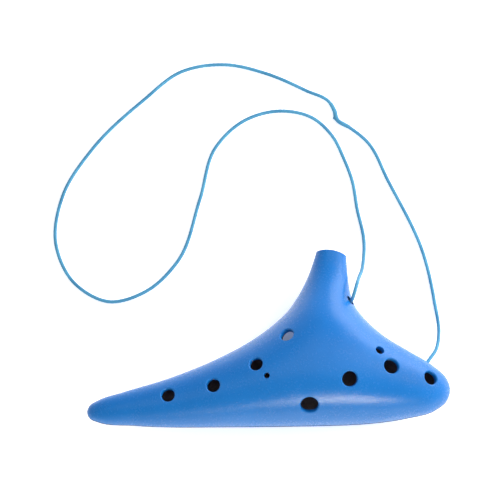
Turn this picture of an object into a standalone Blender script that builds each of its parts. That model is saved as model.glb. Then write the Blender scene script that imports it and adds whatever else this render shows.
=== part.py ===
"""Twelve-hole transverse ocarina in moulded plastic, with its neck cord.

The body is an upper and a lower shell that meet on a flat seam. A windway block sits in the
mouthpiece. The neck cord comes up from a stopper knot under the mouthpiece, through a tunnel in
its flank, and runs round over the table to a hole in the back of the blunt end, where a second
knot holds it inside the air chamber.

Plan coordinates are millimetres: x towards the blunt end, y towards the mouthpiece. Heights
above and below the seam are millimetres too. Meshes are made in metres.
"""
import math

import bmesh
import bpy
import numpy as np
from mathutils import Vector
from mathutils.bvhtree import BVHTree

MM = 0.001

# ---- driving dimensions, millimetres ----
WALL = 2.4                 # wall of the two shells
SEAM_GAP = 0.3             # open line between the shells
FIT_GAP = 0.3              # clearance of everything that touches
CROWN = 1.33               # fullness of the upper shell: 1.41 makes a narrow stretch half round
KEEL = 1.3                 # fullness of the lower shell
BELLY_DEPTH = 19.5         # lowest plane of the lower shell, below the seam
BELLY_BLEND = 0.15         # how gently the keel runs out into that plane
LIP_HEIGHT = 1.5           # tongue of the lower shell inside the upper one
LIP_WIDTH = 1.0

NECK_LEAN = math.radians(8)          # the mouthpiece leans towards the blunt end
MOUTH = np.array([31.1, 44.1])       # middle of the mouthpiece's end face
MOUTH_CROWN = 26.0                   # radius of the end face, seen from above
MOUTH_FLATNESS = 0.66                # thickness that the upper shell keeps at the mouthpiece's end
MOUTH_KEEL = 0.8                     # and the lower shell
NECK_LENGTH = 40.0                   # over which that flattening fades out

WINDWAY_WIDTH = 8.8
WINDWAY_HEIGHT = 1.3
WINDWAY_LENGTH = 27.0                # from the end face to the window
WINDWAY_MID = -0.45                  # middle of the slot at the end face, from the seam
WINDOW_LENGTH = 6.0
WINDOW_WIDTH = 9.2
LABIUM_RISE = math.radians(22)       # of the ramp against the windway
BLOCK_FLANGE = 10.4                  # width of the block where it rests on the seam
BLOCK_TOP = 1.9                      # above the seam
BLOCK_RECESS = 0.8                   # of the block behind the end face
LIP_START = 0.8                      # from the neck's root to where the tongue begins

CORD = 1.8                           # cord diameter
TUNNEL = (2.6, 5.4)                  # oval bore of the neck tunnel
TUNNEL_TURN = (0.68, -0.73)          # plan direction of its long axis
END_BORE = 2.6                       # diameter of the end hole
CORD_FINE = 3.2                      # spacing of its points next to the body
CORD_STEP = 14.0                     # and elsewhere
CORD_RISE = 42.0                     # length of the cord between a knot and the table
KNOT = 4.6                           # diameter of the stopper knots
KNOT_STRETCH = 1.1                   # their length over that
SPLICE = 2.3                         # diameter of the fused joint in the cord

ROWS = 8                             # rows of faces from the rim to the crown
NOSE_STEPS = 6                       # fan of faces at each nose
HOLE_FLARE = 0.5                     # how much wider each playing hole is at the surface
HOLE_FLARE_DEPTH = 0.9
END_FLARE = 0.4                      # the same for the end hole, width and depth
LABIUM_RAMP = 15.0                   # length of the ramp's cut beyond the labium
OVERCUT = 40.0                       # how far the large cutters reach past the body
SMALL_OVERCUT = 5.0                  # and the small ones
SATIN = 0.42                         # roughness of the moulded plastic
MATT = 0.75                          # roughness of the cord

# Skeleton of the plan: three arms that meet under the crown.
HUB = (31.0, -15.0)
TAIL_ARM = [HUB, (0.0, -25.0), (-42.0, -33.5), (-83.0, -37.3)]
BLUNT_ARM = [HUB, (52.0, -21.0), (75.0, -26.0)]
NECK_ARM = [HUB, (29.5, 10.0), (31.0, 36.0), (34.0, 58.0)]

# Rim of the plan, anticlockwise from under the tail's nose. Each stretch pairs with an arm.
RIM = [
    ("tail", 26, [(-84.6, -41.9), (-66.0, -43.8), (-17.0, -44.4), (16.0, -44.0)]),
    ("blunt", 11, [(34.0, -43.6), (50.0, -42.7), (68.0, -40.1)]),
    ("blunt nose", NOSE_STEPS, [(82.0, -36.2), (87.8, -31.4), (89.5, -26.0), (87.6, -20.0)]),
    ("blunt", 11, [(81.8, -14.5), (69.7, -7.0), (56.2, 1.5)]),
    ("neck", 14, [(48.0, 9.1), (43.1, 15.6), (40.7, 22.4), (39.5, 30.0), (38.6, 41.0)]),
    ("neck end", 3, [(38.8, 60.0)]),
    ("neck", 14, [(29.0, 61.0), (23.2, 42.0), (19.4, 31.1), (14.7, 21.6)]),
    ("tail", 26, [(8.9, 13.0), (2.3, 6.7), (-8.4, -1.3), (-24.5, -10.1), (-49.3, -20.3), (-72.3, -27.3)]),
    ("tail nose", NOSE_STEPS, [(-84.3, -31.3), (-88.3, -33.9), (-89.5, -37.3), (-88.2, -40.2)]),
]

# Finger holes in the upper shell and thumb holes in the lower one: (x, y, diameter).
FINGER_HOLES = [
    (-49.6, -30.5, 6.6), (-27.4, -26.6, 6.6), (-6.5, -16.8, 6.5), (8.6, -2.2, 6.6), (-1.2, -23.0, 2.8),
    (19.7, -37.0, 8.7), (39.3, -25.0, 7.4), (59.9, -17.5, 7.5), (79.5, -21.8, 6.9), (54.3, -9.6, 4.2),
]
THUMB_HOLES = [(9.0, 4.5, 7.4), (60.0, -22.0, 8.6)]

# The neck tunnel runs from a mouth on the flank to a foot on the underside; the end hole goes
# through the wall. Each is (x, y, height over the seam).
NECK_TUNNEL = ((40.5, 17.8, 7.0), (35.9, 18.6, -12.0))
END_HOLE = (77.4, -12.6, -5.5)

# Route of the cord, by hand: from the neck tunnel to the splice, through it, and on to the end
# hole.
TABLE = -BELLY_DEPTH + CORD / 2 + 0.05
SPLICE_TABLE = -BELLY_DEPTH + SPLICE / 2 + 0.05
NECK_ROUTE = [
    (39.0, 18.0, 0.0), (40.8, 17.6, 7.4), (41.6, 18.8, 10.6), (42.6, 21.9, 12.1), (43.5, 25.2, 10.9),
    (44.4, 29.0, 5.0), (47.3, 40.5, -10.9), (48.1, 56.0, TABLE), (45.0, 71.0, TABLE),
    (42.5, 86.2, TABLE), (38.4, 97.7, TABLE), (32.5, 109.8, TABLE), (22.5, 119.3, TABLE),
    (6.3, 122.9, TABLE), (-12.0, 117.9, TABLE), (-26.5, 104.0, TABLE), (-34.6, 76.5, TABLE),
    (-46.0, 43.6, TABLE), (-62.0, 28.2, TABLE), (-80.0, 23.1, TABLE), (-97.5, 32.5, TABLE),
    (-107.2, 52.5, TABLE), (-104.0, 78.5, TABLE), (-90.0, 102.0, TABLE), (-63.7, 128.6, TABLE),
    (-44.0, 144.0, TABLE), (-22.0, 147.6, TABLE), (-1.4, 143.0, TABLE), (19.1, 133.9, TABLE),
    (31.6, 127.1, SPLICE_TABLE),
]
SPLICE_ROUTE = [(33.8, 122.9, SPLICE_TABLE), (34.9, 118.6, SPLICE_TABLE)]
END_ROUTE = [
    (41.6, 114.0, SPLICE_TABLE), (50.0, 107.0, TABLE), (60.7, 86.2, TABLE), (78.4, 47.0, TABLE),
    (83.3, 23.7, TABLE), (85.1, 5.5, -15.0), (82.8, -4.4, -9.6), (80.0, -8.6, -7.6),
]

BLUE = (0.018, 0.165, 0.68, 1.0)
DEEP_BLUE = (0.014, 0.12, 0.52, 1.0)
CORD_BLUE = (0.07, 0.36, 0.66, 1.0)


def neck_axis():
    """Unit vector along the mouthpiece, from its end face towards the body."""
    return np.array([-math.sin(NECK_LEAN), -math.cos(NECK_LEAN)])


def along_neck(xy):
    """Distance of plan points from the mouthpiece's end face, into the body."""
    return (np.asarray(xy) - MOUTH) @ neck_axis()


def smooth_curve(points, closed=False, steps=24):
    """Cubic through the points with chord-length tangents; `steps` samples for each interval."""
    p = np.array(points, float)
    if closed:
        p = np.concatenate([p[-1:], p, p[:2]])
    else:
        p = np.concatenate([2 * p[:1] - p[1:2], p, 2 * p[-1:] - p[-2:-1]])
    chord = np.linalg.norm(np.diff(p, axis=0), axis=1)[:, None]
    slope = np.diff(p, axis=0) / chord
    tangent = (slope[:-1] * chord[1:] + slope[1:] * chord[:-1]) / (chord[1:] + chord[:-1])
    t = np.linspace(0, 1, steps, endpoint=False)[:, None]
    curve = []
    for i in range(len(p) - 3):
        a, b, reach = p[i + 1], p[i + 2], chord[i + 1]
        curve.append((1 + 2 * t) * (1 - t) ** 2 * a + t * (1 - t) ** 2 * reach * tangent[i]
                     + t * t * (3 - 2 * t) * b + t * t * (t - 1) * reach * tangent[i + 1])
    if not closed:
        curve.append(p[-2:-1])
    return np.concatenate(curve)


def resample(curve, count):
    """`count` + 1 points at even distances along an open polyline."""
    run = np.concatenate([[0], np.cumsum(np.linalg.norm(np.diff(curve, axis=0), axis=1))])
    at = np.linspace(0, run[-1], count + 1)
    return np.stack([np.interp(at, run, curve[:, k]) for k in range(curve.shape[1])], axis=1)


def rungs(inset):
    """Pairs of plan points (rim, skeleton) once round the body, the rim moved in by `inset`."""
    steps = 24
    loop = smooth_curve([p for _, _, points in RIM for p in points], closed=True, steps=steps)
    ahead = np.roll(loop, -1, axis=0) - np.roll(loop, 1, axis=0)
    inward = np.stack([-ahead[:, 1], ahead[:, 0]], axis=1) / np.linalg.norm(ahead, axis=1)[:, None]
    loop = loop + inset * inward
    arms = {"tail": smooth_curve(TAIL_ARM), "blunt": smooth_curve(BLUNT_ARM), "neck": smooth_curve(NECK_ARM)}
    rim, spine, start, outward = [], [], 0, False
    for name, count, points in RIM:
        stop = start + steps * len(points)
        stretch = np.concatenate([loop[start:stop], loop[stop % len(loop)][None]])
        rim.append(resample(stretch, count)[:-1])
        start = stop
        if name in arms:
            arm = resample(arms[name], count)
            spine.append((arm if outward else arm[::-1])[:-1])
            outward = not outward
        else:
            tip = arms[name.split()[0]][-1]
            spine.append(np.repeat(tip[None], count, axis=0))
    return np.concatenate(rim), np.concatenate(spine)


def plan_mesh(inset):
    """Flat mesh over the plan: points, faces, and how many of the points lie on the rim."""
    rim, spine = rungs(inset)
    angle = np.linspace(0, math.pi / 2, ROWS + 1)
    grid = [rim + (1 - math.cos(a)) * (spine - rim) for a in angle[:-1]]
    crest, crest_index = np.unique(spine.round(6), axis=0, return_inverse=True)
    crest_index = crest_index.reshape(-1)
    n = len(rim)
    points = np.concatenate(grid + [crest])
    index = [np.arange(n) + n * row for row in range(ROWS)] + [crest_index + n * ROWS]
    faces = []
    for low, high in zip(index[:-1], index[1:]):
        for i in range(n):
            j = (i + 1) % n
            corners = [low[i], low[j], high[j], high[i]]
            faces.append([int(c) for k, c in enumerate(corners) if c != corners[k - 1]])
    return points, faces, n


def membrane(points, faces, rim_count):
    """Height of a soap film blown up over the plan: zero on the rim, laplacian -1 inside."""
    triangles = np.array([(f[0], f[k], f[k + 1]) for f in faces for k in range(1, len(f) - 1)])
    a, b, c = points[triangles[:, 0]], points[triangles[:, 1]], points[triangles[:, 2]]
    area = 0.5 * ((b - a)[:, 0] * (c - a)[:, 1] - (b - a)[:, 1] * (c - a)[:, 0])
    edges = np.stack([c - b, a - c, b - a])
    stiffness = np.zeros((len(points), len(points)))
    load = np.zeros(len(points))
    for i in range(3):
        np.add.at(load, triangles[:, i], area / 3)
        for j in range(3):
            share = (edges[i] * edges[j]).sum(1) / (4 * area)
            np.add.at(stiffness, (triangles[:, i], triangles[:, j]), share)
    height = np.zeros(len(points))
    inner = slice(rim_count, None)
    height[inner] = np.linalg.solve(stiffness[inner, inner], load[inner])
    return np.sqrt(np.maximum(height, 0))


def neck_flatness(points, share):
    """Grows from `share` of the thickness at the mouthpiece's end to all of it on the body."""
    t = np.clip(along_neck(points) / NECK_LENGTH, 0, 1)
    return share + (1 - share) * t * t * (3 - 2 * t)


def crown_height(points, film):
    return CROWN * film * neck_flatness(points, MOUTH_FLATNESS)


def keel_depth(points, film, floor):
    return belly(KEEL * film * neck_flatness(points, MOUTH_KEEL), floor)


def belly(depth, floor):
    """Lets the depth run out smoothly into a flat floor."""
    start, stop = floor * (1 - BELLY_BLEND), floor * (1 + BELLY_BLEND)
    t = np.clip((depth - start) / (stop - start), 0, 1)
    blended = start + (stop - start) * (t - t * t / 2)
    return np.where(depth < start, depth, blended)


def new_object(name, mesh, material, parent):
    obj = bpy.data.objects.new(name, mesh)
    bpy.context.collection.objects.link(obj)
    obj.parent = parent
    if material:
        mesh.materials.append(material)
    return obj


def mesh_from(name, points, faces):
    """Mesh of metre coordinates from millimetre points, with its faces turned outwards."""
    mesh = bpy.data.meshes.new(name)
    bm = bmesh.new()
    verts = [bm.verts.new(Vector(p) * MM) for p in points]
    for face in faces:
        bm.faces.new([verts[i] for i in face])
    bmesh.ops.recalc_face_normals(bm, faces=bm.faces)
    bm.to_mesh(mesh)
    bm.free()
    return mesh


def make_material(name, colour, roughness):
    material = bpy.data.materials.new(name)
    material.use_nodes = True
    shader = material.node_tree.nodes["Principled BSDF"]
    shader.inputs["Base Color"].default_value = colour
    shader.inputs["Roughness"].default_value = roughness
    shader.inputs["Metallic"].default_value = 0.0
    material.diffuse_color = colour
    return material


def half_body(name, side):
    """Solid upper (side 1) or lower (side -1) half of the body, flat on the seam."""
    points, faces, rim_count = plan_mesh(0)
    film = membrane(points, faces, rim_count)
    if side > 0:
        height = crown_height(points, film)
    else:
        height = keel_depth(points, film, BELLY_DEPTH - SEAM_GAP / 2)
    z = side * (SEAM_GAP / 2 + height)
    return mesh_from(name, np.column_stack([points, z]), faces + [list(range(rim_count))])


def chamber():
    """The air chamber: a closed pillow one wall inside the body, across the seam."""
    points, faces, rim_count = plan_mesh(WALL)
    film = membrane(points, faces, rim_count)
    upper = np.column_stack([points, crown_height(points, film)])
    lower = np.column_stack([points, -keel_depth(points, film, BELLY_DEPTH - WALL)])[rim_count:]
    below = [[i if i < rim_count else i + len(points) - rim_count for i in face] for face in faces]
    return mesh_from("chamber", np.concatenate([upper, lower]), faces + below)


def surface_at(tree, x, y, side):
    """Point on the body above (or below) a plan point, and its outward normal, in millimetres."""
    def hit(px, py):
        origin = Vector((px, py, side * 2 * OVERCUT)) * MM
        return tree.ray_cast(origin, Vector((0, 0, -side)))[0] / MM
    reach = 1.5
    across = hit(x + reach, y) - hit(x - reach, y)
    along = hit(x, y + reach) - hit(x, y - reach)
    return hit(x, y), side * across.cross(along).normalized()


def turned(name, profile, point, axis, segments=24):
    """Solid turned round `axis` from (radius, distance) pairs, with its origin at `point`."""
    spin = Vector((0, 0, 1)).rotation_difference(axis).to_matrix()
    angles = [2 * math.pi * k / segments for k in range(segments)]
    points = [Vector(point) + spin @ Vector((r * math.cos(a), r * math.sin(a), d))
              for r, d in profile for a in angles]
    faces = [list(range(segments)), [len(points) - segments + k for k in range(segments)]]
    for row in range(len(profile) - 1):
        for k in range(segments):
            n = (k + 1) % segments
            low, high = row * segments, (row + 1) * segments
            faces.append([low + k, low + n, high + n, high + k])
    return mesh_from(name, points, faces)


def hole_cutters(tree, holes, side, parent, label):
    """One flared cutter for each playing hole, square to the surface."""
    cutters = []
    for number, (x, y, bore) in enumerate(holes, start=1):
        point, normal = surface_at(tree, x, y, side)
        r = bore / 2
        half = HOLE_FLARE_DEPTH / 2
        profile = [(r, -WALL - SMALL_OVERCUT), (r, -HOLE_FLARE_DEPTH), (r + 0.3 * HOLE_FLARE, -half),
                   (r + HOLE_FLARE, 0.0), (r + 4 * HOLE_FLARE, half + HOLE_FLARE)]
        segments = 24 if bore > 5 else 16
        mesh = turned(f"{label}_{number}", profile, point, normal, segments)
        cutters.append(cutter(f"{label}_{number}", mesh, parent))
    return cutters


def cutter(name, mesh, parent):
    obj = new_object(name, mesh, None, parent)
    obj.hide_render = True
    obj.display_type = "WIRE"
    return obj


def boolean(obj, other, operation="DIFFERENCE"):
    modifier = obj.modifiers.new(other.name, "BOOLEAN")
    modifier.operation = operation
    modifier.solver = "EXACT"
    modifier.object = other


def neck_point(s, across, z):
    """Point at distance `s` from the end face, `across` the mouthpiece, at height z."""
    forward = neck_axis()
    x, y = MOUTH + s * forward + across * np.array([-forward[1], forward[0]])
    return (x, y, z)


def neck_prism(name, profile, width):
    """Side profile of (s, z) pairs, extruded to a width across the mouthpiece."""
    count = len(profile)
    points = [neck_point(s, side * width / 2, z) for side in (-1, 1) for s, z in profile]
    faces = [list(range(count)), list(range(count, 2 * count))]
    faces += [[k, (k + 1) % count, (k + 1) % count + count, k + count] for k in range(count)]
    return mesh_from(name, points, faces)


def beyond_end_face():
    """Plan outline of all that is cut away in front of the crowned end face."""
    reach = math.radians(25)
    arc = [neck_point(MOUTH_CROWN * (1 - math.cos(a)), MOUTH_CROWN * math.sin(a), 0)[:2]
           for a in np.linspace(-reach, reach, 13)]
    left = [neck_point(s, -OVERCUT, 0)[:2] for s in (-OVERCUT, SMALL_OVERCUT)]
    right = [neck_point(s, OVERCUT, 0)[:2] for s in (SMALL_OVERCUT, -OVERCUT)]
    return [*left, *arc, *right]


def neck_up_to(s):
    """Side profile of all of the mouthpiece before distance `s` from its end face."""
    return [(-OVERCUT, -OVERCUT), (s, -OVERCUT), (s, OVERCUT), (-OVERCUT, OVERCUT)]


def prism(name, outline, low, high):
    """Plan outline extruded between two heights."""
    count = len(outline)
    points = [(x, y, z) for z in (low, high) for x, y in outline]
    faces = [list(range(count)), list(range(count, 2 * count))]
    faces += [[k, (k + 1) % count, (k + 1) % count + count, k + count] for k in range(count)]
    return mesh_from(name, points, faces)


def oval_tunnel(name, mouth, foot, long_way):
    """Oval bore from beyond `mouth` to beyond `foot`; its long axis follows `long_way`."""
    mouth, foot = Vector(mouth), Vector(foot)
    axis = (mouth - foot).normalized()
    wide = (Vector(long_way) - axis * axis.dot(Vector(long_way))).normalized()
    narrow = axis.cross(wide)
    narrow_size, wide_size = TUNNEL
    segments = 16
    ends = [foot - SMALL_OVERCUT * axis, mouth + SMALL_OVERCUT * axis]
    points = []
    for end in ends:
        for k in range(segments):
            a = 2 * math.pi * k / segments
            points.append(end + wide * wide_size / 2 * math.cos(a) + narrow * narrow_size / 2 * math.sin(a))
    faces = [list(range(segments)), list(range(segments, 2 * segments))]
    faces += [[k, (k + 1) % segments, (k + 1) % segments + segments, k + segments] for k in range(segments)]
    return mesh_from(name, points, faces)


def cord_curve(name, points, diameter, material, parent):
    """Tube with filled ends along millimetre points."""
    data = bpy.data.curves.new(name, "CURVE")
    data.dimensions = "3D"
    data.bevel_depth = diameter / 2 * MM
    data.bevel_resolution = 2
    data.use_fill_caps = True
    spline = data.splines.new("POLY")
    spline.points.add(len(points) - 1)
    for target, point in zip(spline.points, points):
        target.co = (*(Vector(point) * MM), 1.0)
    return new_object(name, data, material, parent)


def cord_run(curve, reach, step):
    """Points along a stretch of the route: close together over the first `reach` millimetres and
    at the very end, and `step` apart between."""
    run = np.concatenate([[0], np.cumsum(np.linalg.norm(np.diff(curve, axis=0), axis=1))])
    first, last = FIT_GAP / 2, run[-1] - FIT_GAP / 2
    near = np.linspace(first, reach, max(2, round(reach / CORD_FINE)))
    rest = np.linspace(reach, last - CORD, max(2, round((last - reach) / step)))
    at = [*near, *rest[1:], last]
    return np.stack([np.interp(at, run, curve[:, k]) for k in range(3)], axis=1)


def make_knot(name, centre, axis, material, parent):
    """Plain round stopper knot, a little longer than it is wide."""
    rings, half = 8, KNOT / 2
    angles = [math.pi * k / rings for k in range(1, rings)]
    profile = [(half * math.sin(a), -KNOT_STRETCH * half * math.cos(a)) for a in angles]
    mesh = turned(name, profile, centre, axis, 16)
    mesh.shade_smooth()
    return new_object(name, mesh, material, parent)


def main():
    for obj in list(bpy.data.objects):
        bpy.data.objects.remove(obj, do_unlink=True)

    shell_blue = make_material("shell_plastic", BLUE, SATIN)
    block_blue = make_material("block_plastic", DEEP_BLUE, SATIN)
    cord_blue = make_material("cord_braid", CORD_BLUE, MATT)

    # The middle of the plan, with the mouthpiece cut off, goes over the origin.
    body = bpy.data.objects.new("ocarina", None)
    bpy.context.collection.objects.link(body)
    rim, _ = rungs(0)
    rim = rim[along_neck(rim) > 0]
    middle = (rim.min(axis=0) + rim.max(axis=0)) / 2
    body.location = Vector((-middle[0], -middle[1], BELLY_DEPTH)) * MM

    # Outer halves of the body, and rays to find places on them.
    upper = new_object("upper_shell", half_body("upper_shell", 1), shell_blue, body)
    lower = new_object("lower_shell", half_body("lower_shell", -1), shell_blue, body)
    trees = []
    for half in (upper, lower):
        verts = [v.co.copy() for v in half.data.vertices]
        trees.append(BVHTree.FromPolygons(verts, [list(p.vertices) for p in half.data.polygons]))
    upper_tree, lower_tree = trees

    # The end face is crowned; the chamber stops square to the mouthpiece at the neck's root.
    across = 2 * OVERCUT
    end_cut = cutter("end_cut", prism("end_cut", beyond_end_face(), -OVERCUT, OVERCUT), body)
    root_cut = cutter("root_cut", neck_prism("root_cut", neck_up_to(WINDWAY_LENGTH), across), body)
    lip_end = neck_up_to(WINDWAY_LENGTH + LIP_START)
    lip_cut = cutter("lip_cut", neck_prism("lip_cut", lip_end, across), body)

    air = cutter("chamber", chamber(), body)
    boolean(air, root_cut)

    # Tongue of the lower shell in the groove of the upper one.
    tongue_outline, _ = rungs(WALL - LIP_WIDTH)
    tongue = cutter("tongue", prism("tongue", tongue_outline, -LIP_WIDTH, LIP_HEIGHT), body)
    groove_outline, _ = rungs(WALL - LIP_WIDTH - FIT_GAP)
    groove = cutter("groove", prism("groove", groove_outline, -LIP_WIDTH, LIP_HEIGHT + FIT_GAP), body)
    boolean(tongue, lip_cut)
    boolean(groove, lip_cut)

    # Windway: a sloping slot that aims at the labium, the far edge of the window.
    labium_s = WINDWAY_LENGTH + WINDOW_LENGTH
    x, y, _ = neck_point(labium_s, 0, 0)
    labium_z = surface_at(lower_tree, x, y, -1)[0].z + WALL
    slope = (labium_z - WINDWAY_MID) / labium_s
    ramp = math.tan(math.atan(slope) - LABIUM_RISE)

    def slot(s, side):
        return (s, WINDWAY_MID + slope * s + side * WINDWAY_HEIGHT / 2)

    near, far = -SMALL_OVERCUT, WINDWAY_LENGTH + 2 * FIT_GAP
    ceiling = BLOCK_TOP + FIT_GAP
    ramp_end = (labium_s + LABIUM_RAMP, labium_z + LABIUM_RAMP * ramp)
    trough = [(near, ceiling), slot(near, -1), slot(far, -1), (far, ceiling)]
    pocket = [(near, -ceiling), (far, -ceiling), (far, ceiling), (near, ceiling)]
    window = [slot(WINDWAY_LENGTH, 0), (labium_s, labium_z), ramp_end,
              (ramp_end[0], -OVERCUT), (WINDWAY_LENGTH, -OVERCUT)]
    trough_cut = cutter("trough", neck_prism("trough", trough, WINDWAY_WIDTH), body)
    pocket_cut = cutter("pocket", neck_prism("pocket", pocket, BLOCK_FLANGE + 2 * FIT_GAP), body)
    window_cut = cutter("window", neck_prism("window", window, WINDOW_WIDTH), body)

    neck_bore = cutter("neck_bore", oval_tunnel("neck_bore", *NECK_TUNNEL, (*TUNNEL_TURN, 0)), body)
    mouth, outward, _, _ = lower_tree.find_nearest(Vector(END_HOLE) * MM)
    mouth = mouth / MM
    bore = END_BORE / 2
    end_profile = [(bore, -WALL - END_BORE / 2), (bore, -END_FLARE), (bore + END_FLARE, 0.0),
                   (bore + END_FLARE + 1, 1.0)]
    end_bore = cutter("end_bore", turned("end_bore", end_profile, mouth, outward, 16), body)

    upper_cuts = [end_cut, air, groove, pocket_cut, neck_bore]
    upper_cuts += hole_cutters(upper_tree, FINGER_HOLES, 1, body, "finger_hole")
    for tool in upper_cuts:
        boolean(upper, tool)
    boolean(lower, tongue, "UNION")
    lower_cuts = [end_cut, air, trough_cut, window_cut, neck_bore, end_bore]
    lower_cuts += hole_cutters(lower_tree, THUMB_HOLES, -1, body, "thumb_hole")
    for tool in lower_cuts:
        boolean(lower, tool)

    # Windway block: a wedge over the slot, with a flange that rests on the seam.
    face, root = BLOCK_RECESS, WINDWAY_LENGTH - FIT_GAP / 3
    seat, inside = SEAM_GAP / 2, BLOCK_TOP / 2
    wedge = [(face, inside), slot(face, 1), slot(root, 1), (root, inside)]
    flange = [(face, seat), (root, seat), (root, BLOCK_TOP), (face, BLOCK_TOP)]
    block_mesh = neck_prism("windway_block", flange, BLOCK_FLANGE)
    block = new_object("windway_block", block_mesh, block_blue, body)
    web = cutter("block_web", neck_prism("block_web", wedge, WINDWAY_WIDTH - 2 * FIT_GAP), body)
    boolean(block, web, "UNION")

    # Cord: a knot under the neck, the tunnel, the table, the splice, the table again, and the end
    # hole with a knot inside the chamber.
    top, under = (Vector(p) for p in NECK_TUNNEL)
    down = (under - top).normalized()
    hit, normal, _, _ = lower_tree.ray_cast((under + 10 * down) * MM, -down)
    half_knot = KNOT_STRETCH * KNOT / 2
    neck_centre = hit / MM + down * (half_knot + FIT_GAP) / abs(down.dot(normal))
    end_centre = mouth - outward * (WALL + half_knot + 2 * FIT_GAP)
    make_knot("neck_knot", neck_centre, -down, cord_blue, body)
    make_knot("end_knot", end_centre, outward, cord_blue, body)
    start = neck_centre - down * (half_knot + FIT_GAP / 2)
    stop = end_centre + outward * (half_knot + FIT_GAP / 2)
    steps = 24
    route = smooth_curve([start, *NECK_ROUTE, *SPLICE_ROUTE, *END_ROUTE, stop], steps=steps)
    route[:, 2] = np.maximum(route[:, 2], TABLE)
    splice_start = steps * len(NECK_ROUTE)
    splice_stop = splice_start + steps * (len(SPLICE_ROUTE) + 1)
    neck_side = cord_run(route[:splice_start + 1], CORD_RISE, CORD_STEP)
    splice = cord_run(route[splice_start:splice_stop + 1], SPLICE, SPLICE)
    end_side = cord_run(route[splice_stop:][::-1], CORD_RISE, CORD_STEP)
    cord_curve("neck_side_cord", neck_side, CORD, cord_blue, body)
    cord_curve("cord_splice", splice, SPLICE, cord_blue, body)
    cord_curve("end_side_cord", end_side, CORD, cord_blue, body)


main()
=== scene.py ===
"""Looks of the twelve-hole plastic ocarina and its neck cord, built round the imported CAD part.

Plan coordinates are millimetres: x towards the blunt end, y towards the mouthpiece. Heights are
millimetres above the seam between the two shells. `place` turns them into the row frame.
"""
import math
import bmesh
import bpy
import numpy as np
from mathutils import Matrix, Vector
from mathutils.bvhtree import BVHTree


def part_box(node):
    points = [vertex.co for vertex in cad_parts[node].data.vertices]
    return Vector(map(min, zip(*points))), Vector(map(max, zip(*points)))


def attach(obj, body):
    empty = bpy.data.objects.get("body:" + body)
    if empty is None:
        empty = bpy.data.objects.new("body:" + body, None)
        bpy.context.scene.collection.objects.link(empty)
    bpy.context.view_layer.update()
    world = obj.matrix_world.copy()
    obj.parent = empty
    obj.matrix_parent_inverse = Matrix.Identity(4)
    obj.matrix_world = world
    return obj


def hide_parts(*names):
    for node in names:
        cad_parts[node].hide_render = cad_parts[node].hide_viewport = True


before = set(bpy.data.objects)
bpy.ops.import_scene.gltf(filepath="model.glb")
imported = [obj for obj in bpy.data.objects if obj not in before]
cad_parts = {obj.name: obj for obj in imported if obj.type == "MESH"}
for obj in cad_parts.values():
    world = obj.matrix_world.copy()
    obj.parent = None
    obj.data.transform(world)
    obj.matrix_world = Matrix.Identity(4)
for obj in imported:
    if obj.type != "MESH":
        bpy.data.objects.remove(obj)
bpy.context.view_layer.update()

MM = 0.001

# ---- dimensions shared with the CAD part, millimetres ----
WALL = 2.4
SEAM_GAP = 0.3
FIT_GAP = 0.3
CROWN = 1.33
KEEL = 1.3
BELLY_DEPTH = 19.5
BELLY_BLEND = 0.15
LIP_HEIGHT = 1.5
LIP_WIDTH = 1.0

NECK_LEAN = math.radians(8)
MOUTH = np.array([31.1, 44.1])
MOUTH_CROWN = 26.0
MOUTH_FLATNESS = 0.66
MOUTH_KEEL = 0.8
NECK_LENGTH = 40.0

WINDWAY_WIDTH = 8.8
WINDWAY_HEIGHT = 1.3
WINDWAY_LENGTH = 27.0
WINDWAY_MID = -0.45
WINDOW_LENGTH = 6.0
WINDOW_WIDTH = 9.2
LABIUM_RISE = math.radians(22)
BLOCK_FLANGE = 10.4
BLOCK_TOP = 1.9
LIP_START = 0.8
LABIUM_RAMP = 15.0          # length of the ramp behind the labium's edge
OVERCUT = 40.0              # how far the large cutters reach past the body
SMALL_OVERCUT = 5.0

CORD = 1.8
TUNNEL = (2.6, 5.4)         # short and long way across the oval tunnel in the neck
TUNNEL_TURN = (0.68, -0.73)
END_BORE = 2.6
SPLICE = 2.3

# ---- finer than the CAD ----
FINE = 2                    # rim points for each one of the CAD
ROWS = 16                   # rows of faces from the rim to the crown
CURVE_STEPS = 24            # samples of a curve between two of its points
SEAM_ROUND = 0.55           # radius of the two edges that face each other over the seam
SEAM_ROUND_ROWS = 4
HOLE_ROUND = 0.9            # radius of the edges of the playing holes
SMALL_BORE = 5.0            # holes up to this size get half that radius
HOLE_ROUND_ROWS = 7
HOLE_SIDES = 48
HOLE_REACH = 8.0            # how far into the body the cutter of a playing hole goes
HOLE_RISE = 2.0             # how far it runs on outside the surface
STEEP = math.radians(68)    # how far round a rounded edge goes before its cutter runs straight on
BORE_SIDES = 32             # sides of the two bores for the cord
END_BORE_DEPTH = 1.6 * WALL
END_EDGE = [(0.0, -0.4), (0.1, -0.15), (0.4, 0.0), (1.4, 1.0)]     # (wider by, height) at its mouth
END_ARC = math.radians(25)  # half of the arc that crowns the mouthpiece's end face
END_ARC_POINTS = 33
FAR = 200.0                 # height from which rays look for the surface
RAY_START = 20.0            # height over the surface from which a hole's rays start

# ---- shading of the cut shells ----
SHARP = math.radians(38)    # edges steeper than this stay sharp
SURFACE_DEPTH = 0.08        # faces no deeper than this lie on the uncut surface
SAME_WAY = 0.9              # and have at least this cosine with it
INSIDE_DEPTH = 1.9          # faces this far under the surface are the walls of the chamber

# Middle of the plan and height of the seam: what moves the plan into the row frame.
MIDDLE = np.array([0.0044, -0.5182, -BELLY_DEPTH])

HUB = (31.0, -15.0)
TAIL_ARM = [HUB, (0.0, -25.0), (-42.0, -33.5), (-83.0, -37.3)]
BLUNT_ARM = [HUB, (52.0, -21.0), (75.0, -26.0)]
NECK_ARM = [HUB, (29.5, 10.0), (31.0, 36.0), (34.0, 58.0)]

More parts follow.
